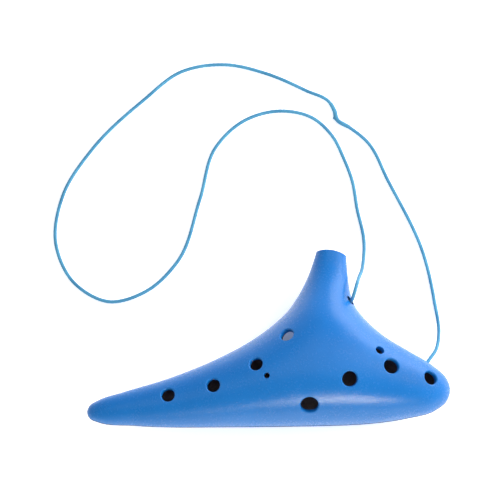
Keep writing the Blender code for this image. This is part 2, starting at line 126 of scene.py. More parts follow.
# Rim of the plan, anticlockwise from under the tail's nose. Each stretch pairs with an arm.
RIM = [
    ("tail", 26, [(-84.6, -41.9), (-66.0, -43.8), (-17.0, -44.4), (16.0, -44.0)]),
    ("blunt", 11, [(34.0, -43.6), (50.0, -42.7), (68.0, -40.1)]),
    ("blunt nose", 6, [(82.0, -36.2), (87.8, -31.4), (89.5, -26.0), (87.6, -20.0)]),
    ("blunt", 11, [(81.8, -14.5), (69.7, -7.0), (56.2, 1.5)]),
    ("neck", 14, [(48.0, 9.1), (43.1, 15.6), (40.7, 22.4), (39.5, 30.0), (38.6, 41.0)]),
    ("neck end", 3, [(38.8, 60.0)]),
    ("neck", 14, [(29.0, 61.0), (23.2, 42.0), (19.4, 31.1), (14.7, 21.6)]),
    ("tail", 26, [(8.9, 13.0), (2.3, 6.7), (-8.4, -1.3), (-24.5, -10.1), (-49.3, -20.3),
                  (-72.3, -27.3)]),
    ("tail nose", 6, [(-84.3, -31.3), (-88.3, -33.9), (-89.5, -37.3), (-88.2, -40.2)]),
]

# Playing holes: x, y and bore.
FINGER_HOLES = [
    (-49.6, -30.5, 6.6), (-27.4, -26.6, 6.6), (-6.5, -16.8, 6.5), (8.6, -2.2, 6.6),
    (-1.2, -23.0, 2.8), (19.7, -37.0, 8.7), (39.3, -25.0, 7.4), (59.9, -17.5, 7.5),
    (79.5, -21.8, 6.9), (54.3, -9.6, 4.2),
]
THUMB_HOLES = [(9.0, 4.5, 7.4), (60.0, -22.0, 8.6)]
NECK_TUNNEL = ((40.5, 17.8, 7.0), (35.9, 18.6, -12.0))
END_HOLE = (77.4, -12.6, -5.5)

# Route of the cord: neck tunnel, table, splice, table, end hole. The points were picked and shifted
# from the cord's line as a program measured it, and eight are its numbers unchanged.
TABLE = -BELLY_DEPTH + CORD / 2 + 0.05
SPLICE_TABLE = -BELLY_DEPTH + SPLICE / 2 + 0.05
NECK_ROUTE = [
    (39.0, 18.0, 0.0), (40.8, 17.6, 7.4), (41.6, 18.8, 10.6), (42.6, 21.9, 12.1), (43.5, 25.2, 10.9),
    (44.4, 29.0, 5.0), (47.3, 40.5, -10.9), (48.1, 56.0, TABLE), (45.0, 71.0, TABLE),
    (42.5, 86.2, TABLE), (38.4, 97.7, TABLE), (32.5, 109.8, TABLE), (22.5, 119.3, TABLE),
    (6.3, 122.9, TABLE), (-12.0, 117.9, TABLE), (-26.5, 104.0, TABLE), (-34.6, 76.5, TABLE),
    (-46.0, 43.6, TABLE), (-62.0, 28.2, TABLE), (-80.0, 23.1, TABLE), (-97.5, 32.5, TABLE),
    (-107.2, 52.5, TABLE), (-104.0, 78.5, TABLE), (-90.0, 102.0, TABLE), (-63.7, 128.6, TABLE),
    (-44.0, 144.0, TABLE), (-22.0, 147.6, TABLE), (-1.4, 143.0, TABLE), (19.1, 133.9, TABLE),
    (31.6, 127.1, SPLICE_TABLE),
]
SPLICE_ROUTE = [(33.8, 122.9, SPLICE_TABLE), (34.9, 118.6, SPLICE_TABLE)]
END_ROUTE = [
    (41.6, 114.0, SPLICE_TABLE), (50.0, 107.0, TABLE), (60.7, 86.2, TABLE), (78.4, 47.0, TABLE),
    (83.3, 23.7, TABLE), (85.1, 5.5, -15.0), (82.8, -4.4, -9.6), (80.0, -8.6, -7.6),
]

# ---- the plastic: sizes in millimetres, and pairs of a colour and a darker one ----
SHELL_BLUE = ((0.008, 0.188, 0.61), (0.006, 0.166, 0.55))
BLOCK_BLUE = ((0.014, 0.12, 0.52), (0.012, 0.10, 0.46))
SHELL_GRAIN = 0.9
BLOCK_GRAIN = 0.8
GRAIN_DEPTH = 0.07
FLOW_SIZE = 38.0
FLOW_DEPTH = 0.12
MARKS_SIZE = 7.0
PLASTIC_IOR = 1.49
# Painted shade: a dark band centred just under the seam, where the upper shell's overhang shades the
# joint, with the reflections taken away there too.
SEAM_SHADE_CORE = 0.15      # reach of the darkest painted shade from the middle of its line
SEAM_SHADE_REACH = 0.9            # reach of the last of it
SEAM_SHADE_HEIGHT = 19.1    # height of that line over the table
SEAM_SHADE_SHARE = 0.9
SEAM_SHADE_COLOUR = (0.006, 0.02, 0.05)
BLOOM_COLOUR = (0.30, 0.24, 0.26)

# ---- the cord's make, millimetres ----
BRAID_PITCH = 4.2           # length of one turn of a strand
BRAID_STRANDS = 4           # strands each way round
BRAID_RELIEF = 0.08
BRAID_LEVEL = 0.6           # taken off the relief
BRAID_SINK = 0.4            # and again, where it is laid on the tube
CORD_SIDES = 16
CORD_STEP = 0.32            # distance between the rings of the tube
CORD_END = 0.5              # length over which a cut end narrows
CORD_END_SHARE = 0.55       # share of the section that is left at the end
CORD_BLUE = ((0.12, 0.42, 0.66), (0.06, 0.27, 0.48))
FIBRE_SIZE = 0.16
FIBRE_DEPTH = 0.05
START_SIDE = (0.3, 0.2, 1.0)    # a direction that no line of cord starts along

SPLICE_RELIEF = 0.02
SPLICE_TAPER = 0.4
SPLICE_LUMP = 0.03
NUB = 0.65                  # height of the cut nub on the splice
NUB_PLACE = (0.48, 0.6)     # share of the splice's length, and angle
NUB_SPREAD = 0.55

KNOT_CORD = 1.45            # the cord where it is pulled tight in a knot
KNOT_RING = 1.45            # radii of the torus that a knot's strand winds on
KNOT_WIND = 0.80
KNOT_RISE = 1.15            # how much the torus is drawn out along the cord
KNOT_ENTRY = [(0.0, 0.0, 2.35), (0.25, 0.45, 1.7)]
KNOT_POINTS = 120           # of the wound strand; one in eight shapes the curve
KNOT_GAP = 0.25             # how far the cord and its knot stand apart
KNOT_LAY = {                # turn about the cord, and where the free tail goes
    "neck_knot": (0.4, (1.6, -0.9, 0.55)),
    "end_knot": (1.2, (0.9, 0.9, -1.2)),
}

# ---- the stage ----
SEEN_THROUGH = (8.6, 6.0)   # place on the table that shows through a finger and a thumb hole
UNLIT = (4.0, 7.0)          # the paper's glow starts and is whole at these distances from there
PAPER_GLOW = 0.55
FLOOR_REACH = 3.0           # metres from the middle to each side
LIGHT_AIM = Vector((0, 0, 0.02))
WORLD_COLOUR = (0.96, 0.98, 1.0, 1.0)
WORLD_AT_HORIZON = 0.95
WORLD_ABOVE = 0.25
WORLD_TURN = 0.7            # height of the direction, out of one, from which it stays so

# ---- camera, metres ----
CAMERA_ELEVATION = math.radians(76)
CAMERA_DISTANCE = 1.6
CAMERA_AIM = (-0.0093, 0.04576, 0.0195)
CAMERA_FIELD = 0.2493       # width of what it sees at the aim
SENSOR = 36.0


def place(points):
    """Row-frame metres of plan millimetres."""
    return (np.asarray(points, float) - MIDDLE) * MM


# ------------------------------------------------------------------ form, as in the CAD part

def neck_axis():
    """Unit vector along the mouthpiece, from its end face towards the body."""
    return np.array([-math.sin(NECK_LEAN), -math.cos(NECK_LEAN)])


def along_neck(xy):
    """Distance of plan points from the mouthpiece's end face, into the body."""
    return (np.asarray(xy) - MOUTH) @ neck_axis()


def smooth_curve(points, closed=False, steps=CURVE_STEPS):
    """Cubic through the points with chord-length tangents; `steps` samples for each interval."""
    p = np.array(points, float)
    if closed:
        p = np.concatenate([p[-1:], p, p[:2]])
    else:
        p = np.concatenate([2 * p[:1] - p[1:2], p, 2 * p[-1:] - p[-2:-1]])
    chord = np.linalg.norm(np.diff(p, axis=0), axis=1)[:, None]
    slope = np.diff(p, axis=0) / chord
    tangent = (slope[:-1] * chord[1:] + slope[1:] * chord[:-1]) / (chord[1:] + chord[:-1])
    t = np.linspace(0, 1, steps, endpoint=False)[:, None]
    curve = []
    for i in range(len(p) - 3):
        a, b, reach = p[i + 1], p[i + 2], chord[i + 1]
        curve.append((1 + 2 * t) * (1 - t) ** 2 * a + t * (1 - t) ** 2 * reach * tangent[i]
                     + t * t * (3 - 2 * t) * b + t * t * (t - 1) * reach * tangent[i + 1])
    if not closed:
        curve.append(p[-2:-1])
    return np.concatenate(curve)


def lengths(curve):
    """Distance along a polyline to each of its points."""
    return np.concatenate([[0], np.cumsum(np.linalg.norm(np.diff(curve, axis=0), axis=1))])


def resample(curve, count):
    """`count` + 1 points at even distances along an open polyline."""
    run = lengths(curve)
    at = np.linspace(0, run[-1], count + 1)
    return np.stack([np.interp(at, run, curve[:, k]) for k in range(curve.shape[1])], axis=1)


def rungs(inset):
    """Pairs of plan points (rim, skeleton) once round the body, the rim moved in by `inset`."""
    loop = smooth_curve([p for _, _, points in RIM for p in points], closed=True)
    ahead = np.roll(loop, -1, axis=0) - np.roll(loop, 1, axis=0)
    inward = np.stack([-ahead[:, 1], ahead[:, 0]], axis=1) / np.linalg.norm(ahead, axis=1)[:, None]
    loop = loop + inset * inward
    arms = {"tail": smooth_curve(TAIL_ARM), "blunt": smooth_curve(BLUNT_ARM),
            "neck": smooth_curve(NECK_ARM)}
    rim, spine, start, outward = [], [], 0, False
    for name, count, points in RIM:
        count = count * FINE
        stop = start + CURVE_STEPS * len(points)
        stretch = np.concatenate([loop[start:stop], loop[stop % len(loop)][None]])
        rim.append(resample(stretch, count)[:-1])
        start = stop
        if name in arms:
            arm = resample(arms[name], count)
            spine.append((arm if outward else arm[::-1])[:-1])
            outward = not outward
        else:
            tip = arms[name.split()[0]][-1]
            spine.append(np.repeat(tip[None], count, axis=0))
    return np.concatenate(rim), np.concatenate(spine)


def plan_mesh(inset):
    """Flat mesh over the plan: points, faces, and how many of the points lie on the rim."""
    rim, spine = rungs(inset)
    angle = np.linspace(0, math.pi / 2, ROWS + 1)
    grid = [rim + (1 - math.cos(a)) * (spine - rim) for a in angle[:-1]]
    crest, crest_index = np.unique(spine.round(6), axis=0, return_inverse=True)
    crest_index = crest_index.reshape(-1)
    n = len(rim)
    points = np.concatenate(grid + [crest])
    index = [np.arange(n) + n * row for row in range(ROWS)] + [crest_index + n * ROWS]
    faces = []
    for low, high in zip(index[:-1], index[1:]):
        for i in range(n):
            j = (i + 1) % n
            corners = [low[i], low[j], high[j], high[i]]
            faces.append([int(c) for k, c in enumerate(corners) if c != corners[k - 1]])
    return points, faces, n


def membrane(points, faces, rim_count):
    """Height of a soap film blown up over the plan: zero on the rim, laplacian -1 inside."""
    triangles = np.array([(f[0], f[k], f[k + 1]) for f in faces for k in range(1, len(f) - 1)])
    a, b, c = points[triangles[:, 0]], points[triangles[:, 1]], points[triangles[:, 2]]
    area = 0.5 * ((b - a)[:, 0] * (c - a)[:, 1] - (b - a)[:, 1] * (c - a)[:, 0])
    edges = np.stack([c - b, a - c, b - a])
    stiffness = np.zeros((len(points), len(points)))
    load = np.zeros(len(points))
    for i in range(3):
        np.add.at(load, triangles[:, i], area / 3)
        for j in range(3):
            share = (edges[i] * edges[j]).sum(1) / (4 * area)
            np.add.at(stiffness, (triangles[:, i], triangles[:, j]), share)
    height = np.zeros(len(points))
    inner = slice(rim_count, None)
    height[inner] = np.linalg.solve(stiffness[inner, inner], load[inner])
    return np.sqrt(np.maximum(height, 0))


def neck_flatness(points, share):
    """Grows from `share` of the thickness at the mouthpiece's end to all of it on the body."""
    t = np.clip(along_neck(points) / NECK_LENGTH, 0, 1)
    return share + (1 - share) * t * t * (3 - 2 * t)


def crown_height(points, film):
    """Height of the outside of the upper shell over the seam."""
    return CROWN * film * neck_flatness(points, MOUTH_FLATNESS)


def keel_depth(points, film, floor):
    """Depth of the lower shell under the seam, with its belly at `floor`."""
    return belly(KEEL * film * neck_flatness(points, MOUTH_KEEL), floor)


def belly(depth, floor):
    """Lets the depth run out smoothly into a flat floor."""
    start, stop = floor * (1 - BELLY_BLEND), floor * (1 + BELLY_BLEND)
    t = np.clip((depth - start) / (stop - start), 0, 1)
    blended = start + (stop - start) * (t - t * t / 2)
    return np.where(depth < start, depth, blended)


# ------------------------------------------------------------------ meshes

def mesh_from(name, points, faces):
    """Mesh in the row frame from plan millimetres, with its faces turned outwards."""
    mesh = bpy.data.meshes.new(name)
    bm = bmesh.new()
    verts = [bm.verts.new(p) for p in place(points)]
    for face in faces:
        bm.faces.new([verts[i] for i in face])
    bmesh.ops.recalc_face_normals(bm, faces=bm.faces)
    bm.to_mesh(mesh)
    bm.free()
    return mesh


def new_object(name, mesh):
    obj = bpy.data.objects.new(name, mesh)
    bpy.context.collection.objects.link(obj)
    return obj


def skin(side, plan, film):
    """Outer surface of one half with the round edge at the seam, as points and faces, open at
    the bottom. The first rings of points run up that edge."""
    points, faces, n = plan
    if side > 0:
        height = crown_height(points, film)
    else:
        height = keel_depth(points, film, BELLY_DEPTH - SEAM_GAP / 2)
    height[:n] = SEAM_ROUND
    rings = []
    for a in np.linspace(0, math.pi / 2, SEAM_ROUND_ROWS + 1)[:-1]:
        ring, _ = rungs(SEAM_ROUND * (1 - math.sin(a)))
        rings.append(np.column_stack([ring, np.full(n, SEAM_ROUND * (1 - math.cos(a)))]))
    body = np.column_stack([points, height])
    both = np.concatenate(rings + [body])
    both[:, 2] = side * (SEAM_GAP / 2 + both[:, 2])
    below = len(rings) * n
    strips = []
    for row in range(len(rings)):
        for i in range(n):
            j = (i + 1) % n
            strips.append([row * n + i, row * n + j, (row + 1) * n + j, (row + 1) * n + i])
    return both, strips + [[c + below for c in f] for f in faces], n


def half_body(name, side, plan, film):
    """Solid half of the body, and its outer surface for rays and for normals."""
    points, faces, n = skin(side, plan, film)
    solid = new_object(name, mesh_from(name, points, faces + [list(range(n))]))
    return solid, Surface(points, faces, side)


class Surface:
    """The outer surface of a half before anything is cut out of it."""

    def __init__(self, points, faces, side):
        self.side = side
        triangles = [(f[0], f[k], f[k + 1]) for f in faces for k in range(1, len(f) - 1)]
        if side < 0:
            triangles = [t[::-1] for t in triangles]
        self.points = place(points)
        self.triangles = np.array(triangles)
        a, b, c = (self.points[self.triangles[:, k]] for k in range(3))
        flat = np.cross(b - a, c - a)
        self.normals = np.zeros_like(self.points)
        for k in range(3):
            np.add.at(self.normals, self.triangles[:, k], flat)
        self.normals /= np.linalg.norm(self.normals, axis=1)[:, None]
        self.tree = BVHTree.FromPolygons(self.points.tolist(), triangles)

    def over(self, x, y):
        """Point of the surface over (or under) a plan point, in the row frame."""
        origin = place((x, y, self.side * FAR))
        return self.tree.ray_cast(Vector(origin), Vector((0, 0, -self.side)))[0]

    def outward(self, x, y, reach=1.5):
        """Outward normal of the surface, taken over a small patch."""
        across = self.over(x + reach, y) - self.over(x - reach, y)
        along = self.over(x, y + reach) - self.over(x, y - reach)
        return self.side * across.cross(along).normalized()

    def normal_at(self, point):
        """Distance to the surface from a row-frame point, and the smooth normal there."""
        hit, _, index, distance = self.tree.find_nearest(point)
        corners = self.triangles[index]
        a, b, c = self.points[corners]
        p = np.array(hit)
        whole = np.linalg.norm(np.cross(b - a, c - a))
        share_a = np.linalg.norm(np.cross(b - p, c - p)) / whole
        share_b = np.linalg.norm(np.cross(c - p, a - p)) / whole
        weights = np.array([share_a, share_b, max(0.0, 1 - share_a - share_b)])
        normal = weights @ self.normals[corners]
        return distance, normal / np.linalg.norm(normal)


def chamber(plan, film):
    """The air chamber: a closed pillow one wall inside the body, across the seam."""
    points, faces, n = plan
    upper = np.column_stack([points, crown_height(points, film)])
    lower = np.column_stack([points, -keel_depth(points, film, BELLY_DEPTH - WALL)])[n:]
    below = [[i if i < n else i + len(points) - n for i in face] for face in faces]
    mesh = mesh_from("chamber", np.concatenate([upper, lower]), faces + below)
    return new_object("chamber", mesh)


def bridge(rings):
    """Faces of a closed tube over rings of equal size, both ends filled."""
    n = len(rings[0])
    faces = [list(range(n)), [(len(rings) - 1) * n + k for k in range(n)]]
    for row in range(len(rings) - 1):
        for k in range(n):
            j = (k + 1) % n
            faces.append([row * n + k, row * n + j, (row + 1) * n + j, (row + 1) * n + k])
    return faces


def playing_hole(name, surface, x, y, bore):
    """Cutter for one playing hole. Its rounded edge follows the surface all the way round."""
    point = surface.over(x, y)
    axis = surface.outward(x, y)
    spin = Vector((0, 0, 1)).rotation_difference(axis).to_matrix()
    r, edge = bore / 2, HOLE_ROUND if bore > SMALL_BORE else HOLE_ROUND / 2
    angles = [2 * math.pi * k / HOLE_SIDES for k in range(HOLE_SIDES)]
    spokes = [spin @ Vector((math.cos(a), math.sin(a), 0)) * MM for a in angles]
    rings = [[point + spoke * r - axis * HOLE_REACH * MM for spoke in spokes]]
    for a in np.linspace(0, STEEP, HOLE_ROUND_ROWS):
        radius, depth = r + edge * (1 - math.cos(a)), edge * (1 - math.sin(a))
        starts = [point + spoke * radius + axis * (RAY_START * MM) for spoke in spokes]
        feet = [surface.tree.ray_cast(start, -axis)[0] for start in starts]
        rings.append([foot - axis * depth * MM for foot in feet])
    rise = axis * HOLE_RISE * math.cos(STEEP) * MM
    rings.append([p + spoke * HOLE_RISE * math.sin(STEEP) + rise
                  for p, spoke in zip(rings[-1], spokes)])
    points = [np.array(p) / MM + MIDDLE for ring in rings for p in ring]
    return new_object(name, mesh_from(name, points, bridge(rings)))


def turned(name, profile, point, axis):
    """Solid turned round `axis` from (radius, distance) pairs, with its origin at `point`."""
    spin = Vector((0, 0, 1)).rotation_difference(axis).to_matrix()
    rings = []
    for r, d in profile:
        angles = [2 * math.pi * k / BORE_SIDES for k in range(BORE_SIDES)]
        rings.append([Vector(point) + spin @ Vector((r * math.cos(a), r * math.sin(a), d))
                      for a in angles])
    return new_object(name, mesh_from(name, [p for ring in rings for p in ring], bridge(rings)))


def neck_point(s, across, z):
    """Point at distance `s` from the end face, `across` the mouthpiece, at height z."""
    forward = neck_axis()
    x, y = MOUTH + s * forward + across * np.array([-forward[1], forward[0]])
    return (x, y, z)


def extruded(name, low, high):
    """Solid between two matching outlines."""
    return new_object(name, mesh_from(name, [*low, *high], bridge([low, high])))


def neck_prism(name, profile, width):
    """Side profile of (s, z) pairs, extruded to a width across the mouthpiece."""
    sides = [[neck_point(s, side * width / 2, z) for s, z in profile] for side in (-1, 1)]
    return extruded(name, *sides)


def prism(name, outline, low, high):
    """Plan outline extruded between two heights."""
    return extruded(name, [(x, y, low) for x, y in outline], [(x, y, high) for x, y in outline])


def beyond_end_face():
    """Plan outline of all that is cut away in front of the crowned end face."""
    arc = [neck_point(MOUTH_CROWN * (1 - math.cos(a)), MOUTH_CROWN * math.sin(a), 0)[:2]
           for a in np.linspace(-END_ARC, END_ARC, END_ARC_POINTS)]
    left = [neck_point(s, -OVERCUT, 0)[:2] for s in (-OVERCUT, SMALL_OVERCUT)]
    right = [neck_point(s, OVERCUT, 0)[:2] for s in (SMALL_OVERCUT, -OVERCUT)]
    return [*left, *arc, *right]


def neck_up_to(s):
    """Side profile of all of the mouthpiece before distance `s` from its end face."""
    return [(-OVERCUT, -OVERCUT), (s, -OVERCUT), (s, OVERCUT), (-OVERCUT, OVERCUT)]


def oval_tunnel(name, mouth, foot, long_way):
    """Oval bore from beyond `mouth` to beyond `foot`; its long axis follows `long_way`."""
    mouth, foot = Vector(mouth), Vector(foot)
    axis = (mouth - foot).normalized()
    wide = (Vector(long_way) - axis * axis.dot(Vector(long_way))).normalized()
    narrow = axis.cross(wide)
    narrow_size, wide_size = TUNNEL
    rings = []
    for end in (foot - SMALL_OVERCUT * axis, mouth + SMALL_OVERCUT * axis):
        angles = [2 * math.pi * k / BORE_SIDES for k in range(BORE_SIDES)]
        rings.append([end + wide * wide_size / 2 * math.cos(a)
                      + narrow * narrow_size / 2 * math.sin(a) for a in angles])
    return extruded(name, *rings)


def boolean(obj, other, operation="DIFFERENCE"):
    modifier = obj.modifiers.new(other.name, "BOOLEAN")
    modifier.operation = operation
    modifier.solver = "EXACT"
    modifier.object = other


def settle(obj):
    """Replaces an object's mesh by what its modifiers make of it."""
    depsgraph = bpy.context.evaluated_depsgraph_get()
    mesh = bpy.data.meshes.new_from_object(obj.evaluated_get(depsgraph))
    obj.modifiers.clear()
    obj.data = mesh


def smooth_like(obj, surface):
    """Shades a cut shell smooth, with the uncut surface's normals where it is left, and marks the
    faces of its inside for the plastic."""
    mesh = obj.data
    mesh.shade_smooth()
    mesh.set_sharp_from_angle(angle=SHARP)
    normals = np.empty(len(mesh.loops) * 3, dtype=np.float32)
    mesh.corner_normals.foreach_get("vector", normals)
    normals = normals.reshape(-1, 3)
    found = {}
    inside = mesh.attributes.new("inside", "FLOAT", "FACE")
    for face in mesh.polygons:
        depth, normal = surface.normal_at(face.center)
        if depth > INSIDE_DEPTH * MM:
            inside.data[face.index].value = 1.0
        if depth > SURFACE_DEPTH * MM or normal @ np.array(face.normal) < SAME_WAY:
            continue
        for loop in face.loop_indices:
            vertex = mesh.loops[loop].vertex_index
            if vertex not in found:
                found[vertex] = surface.normal_at(mesh.vertices[vertex].co)[1]
            normals[loop] = found[vertex]
    mesh.normals_split_custom_set(normals.tolist())


def windway_cutters(lower_skin):
    """Cutters of the windway's trough, the window with its labium, and the block's pocket."""
    labium_s = WINDWAY_LENGTH + WINDOW_LENGTH
    x, y, _ = neck_point(labium_s, 0, 0)
    labium_z = lower_skin.over(x, y).z / MM - BELLY_DEPTH + WALL
    slope = (labium_z - WINDWAY_MID) / labium_s
    ramp = math.tan(math.atan(slope) - LABIUM_RISE)

    def slot(s, side):
        return (s, WINDWAY_MID + slope * s + side * WINDWAY_HEIGHT / 2)

    near, far = -SMALL_OVERCUT, WINDWAY_LENGTH + 2 * FIT_GAP
    ceiling = BLOCK_TOP + FIT_GAP
    ramp_end = (labium_s + LABIUM_RAMP, labium_z + LABIUM_RAMP * ramp)
    trough = [(near, ceiling), slot(near, -1), slot(far, -1), (far, ceiling)]
    pocket = [(near, -ceiling), (far, -ceiling), (far, ceiling), (near, ceiling)]
    window = [slot(WINDWAY_LENGTH, 0), (labium_s, labium_z), ramp_end,
              (ramp_end[0], -OVERCUT), (WINDWAY_LENGTH, -OVERCUT)]
    trough_cut = neck_prism("trough", trough, WINDWAY_WIDTH)
    pocket_cut = neck_prism("pocket", pocket, BLOCK_FLANGE + 2 * FIT_GAP)
    window_cut = neck_prism("window", window, WINDOW_WIDTH)
    return trough_cut, window_cut, pocket_cut


def make_shells():
    """The two shells, cut as in the CAD part, and the way that the end hole faces."""
    plan = plan_mesh(0)
    film = membrane(*plan)
    upper, upper_skin = half_body("upper_shell_moulding", 1, plan, film)
    lower, lower_skin = half_body("lower_shell_moulding", -1, plan, film)
    across = 2 * OVERCUT
    end_cut = prism("end_cut", beyond_end_face(), -OVERCUT, OVERCUT)
    root_cut = neck_prism("root_cut", neck_up_to(WINDWAY_LENGTH), across)
    lip_cut = neck_prism("lip_cut", neck_up_to(WINDWAY_LENGTH + LIP_START), across)
    inner_plan = plan_mesh(WALL)
    air = chamber(inner_plan, membrane(*inner_plan))
    boolean(air, root_cut)
    tongue = prism("tongue", rungs(WALL - LIP_WIDTH)[0], -LIP_WIDTH, LIP_HEIGHT)
    groove = prism("groove", rungs(WALL - LIP_WIDTH - FIT_GAP)[0], -LIP_WIDTH, LIP_HEIGHT + FIT_GAP)
    boolean(tongue, lip_cut)
    boolean(groove, lip_cut)
    trough_cut, window_cut, pocket_cut = windway_cutters(lower_skin)
    neck_bore = oval_tunnel("neck_bore", *NECK_TUNNEL, (*TUNNEL_TURN, 0))
    mouth, outward, _, _ = lower_skin.tree.find_nearest(Vector(place(END_HOLE)))
    mouth = Vector(mouth) / MM + Vector(MIDDLE)
    bore = END_BORE / 2
    end_profile = [(bore, -END_BORE_DEPTH), *((bore + wider, height) for wider, height in END_EDGE)]
    end_bore = turned("end_bore", end_profile, mouth, outward)

    upper_cuts = [end_cut, air, groove, pocket_cut, neck_bore]
    upper_cuts += [playing_hole(f"finger_hole_{k}", upper_skin, *hole)
                   for k, hole in enumerate(FINGER_HOLES)]
    lower_cuts = [end_cut, air, trough_cut, window_cut, neck_bore, end_bore]
    lower_cuts += [playing_hole(f"thumb_hole_{k}", lower_skin, *hole)
                   for k, hole in enumerate(THUMB_HOLES)]
    for tool in (air, tongue, groove):
        settle(tool)
    for tool in upper_cuts:
        boolean(upper, tool)
    boolean(lower, tongue, "UNION")
    for tool in lower_cuts:
        boolean(lower, tool)
    settle(upper)
    settle(lower)
    for tool in {*upper_cuts, *lower_cuts, tongue, root_cut, lip_cut}:
        bpy.data.objects.remove(tool, do_unlink=True)
    smooth_like(upper, upper_skin)
    smooth_like(lower, lower_skin)
    return upper, lower, outward


# ------------------------------------------------------------------ cord

def carried_frames(line):
    """Two side directions at each point of a line, carried along without twist."""
    ahead = np.gradient(line, axis=0)
    ahead /= np.linalg.norm(ahead, axis=1)[:, None]
    side = np.cross(ahead[0], START_SIDE)
    sides = []
    for direction in ahead:
        side = side - direction * (side @ direction)
        side /= np.linalg.norm(side)
        sides.append(side)
    sides = np.array(sides)
    return sides, np.cross(ahead, sides)


def braid(around, along):
    """Relief of a round braid: strands that run both ways round and pass over each other."""
    wound = 2 * math.pi * BRAID_STRANDS * along / BRAID_PITCH / 2
    left, right = BRAID_STRANDS * around + wound, BRAID_STRANDS * around - wound
    over = 0.5 + 0.5 * np.sin(left / 2) * np.sin(right / 2)
    return over * np.abs(np.cos(left / 2)) + (1 - over) * np.abs(np.cos(right / 2)) - BRAID_LEVEL


def tube(name, line, radius, relief=BRAID_RELIEF):
    """Closed braided tube along a line of plan millimetres. `radius` is one number, or a
    function of the angles round it and of the distances along it."""
    run = lengths(line)
    line = resample(line, max(8, round(run[-1] / CORD_STEP)))
    run = lengths(line)
    side, up = carried_frames(line)
    around = np.arange(CORD_SIDES) * 2 * math.pi / CORD_SIDES
    angle, along = np.meshgrid(around, run)
    size = radius(angle, along) if callable(radius) else np.full(angle.shape, radius)
    size = size + relief * (braid(angle, along) - BRAID_SINK)
    ends = np.minimum(along, run[-1] - along)
    size = size * np.sqrt(np.clip(CORD_END_SHARE + ends / CORD_END, 0, 1))
    rings = line[:, None] + size[..., None] * (np.cos(angle)[..., None] * side[:, None]
                                               + np.sin(angle)[..., None] * up[:, None])
    mesh = mesh_from(name, rings.reshape(-1, 3), bridge(rings))
    mesh.shade_smooth()
    return new_object(name, mesh)


def cord_route(neck_start, end_stop):
    """The whole line of the cord, and where along it the splice begins and ends."""
    route = smooth_curve([neck_start, *NECK_ROUTE, *SPLICE_ROUTE, *END_ROUTE, end_stop])
    route[:, 2] = np.maximum(route[:, 2], TABLE)
    run = lengths(route)
    first = CURVE_STEPS * len(NECK_ROUTE)
    last = first + CURVE_STEPS * (len(SPLICE_ROUTE) + 1)
    return route, run[first], run[last]


def splice_size(length):
    """Radius of the fused joint: tapered ends, a lumpy middle and a small cut nub."""
    def size(angle, along):
        t = along / length
        body = CORD / 2 + (SPLICE - CORD) / 2 * np.clip(np.sin(math.pi * t), 0, 1) ** SPLICE_TAPER
        lumps = (SPLICE_LUMP * np.sin(angle * 2 + along * 0.9)
                 + SPLICE_LUMP * np.sin(angle * 3 - along * 1.7))
        share, turn = NUB_PLACE
        nub = NUB * np.exp(-((along - share * length) / NUB_SPREAD) ** 2
                           - ((angle - turn) / NUB_SPREAD) ** 2)
        return body + lumps * np.sin(math.pi * t) + nub
    return size


def knot_line(centre, axis, turn, tail):
    """An overhand knot pulled tight: a strand wound twice round a ring, entered along `axis`."""
    t = np.linspace(math.pi / 6, 11 * math.pi / 6, KNOT_POINTS)
    reach = KNOT_RING + KNOT_WIND * np.cos(3 * t)
    wound = np.column_stack([reach * np.cos(2 * t), reach * np.sin(2 * t),
                             KNOT_RISE * KNOT_WIND * np.sin(3 * t)])
    leave = wound[-1] + np.array(tail)
    ends = [leave * (0.9, 0.9, 1.0), leave * (1.05, 1.05, 0.9)]
    line = smooth_curve([*KNOT_ENTRY, *wound[6::8], *ends], steps=10)
    spin = Vector((0, 0, 1)).rotation_difference(axis).to_matrix()
    about = np.array([[math.cos(turn), -math.sin(turn), 0],
                      [math.sin(turn), math.cos(turn), 0], [0, 0, 1]])
    return (np.array(spin) @ about @ line.T).T + np.array(centre)


# ------------------------------------------------------------------ materials

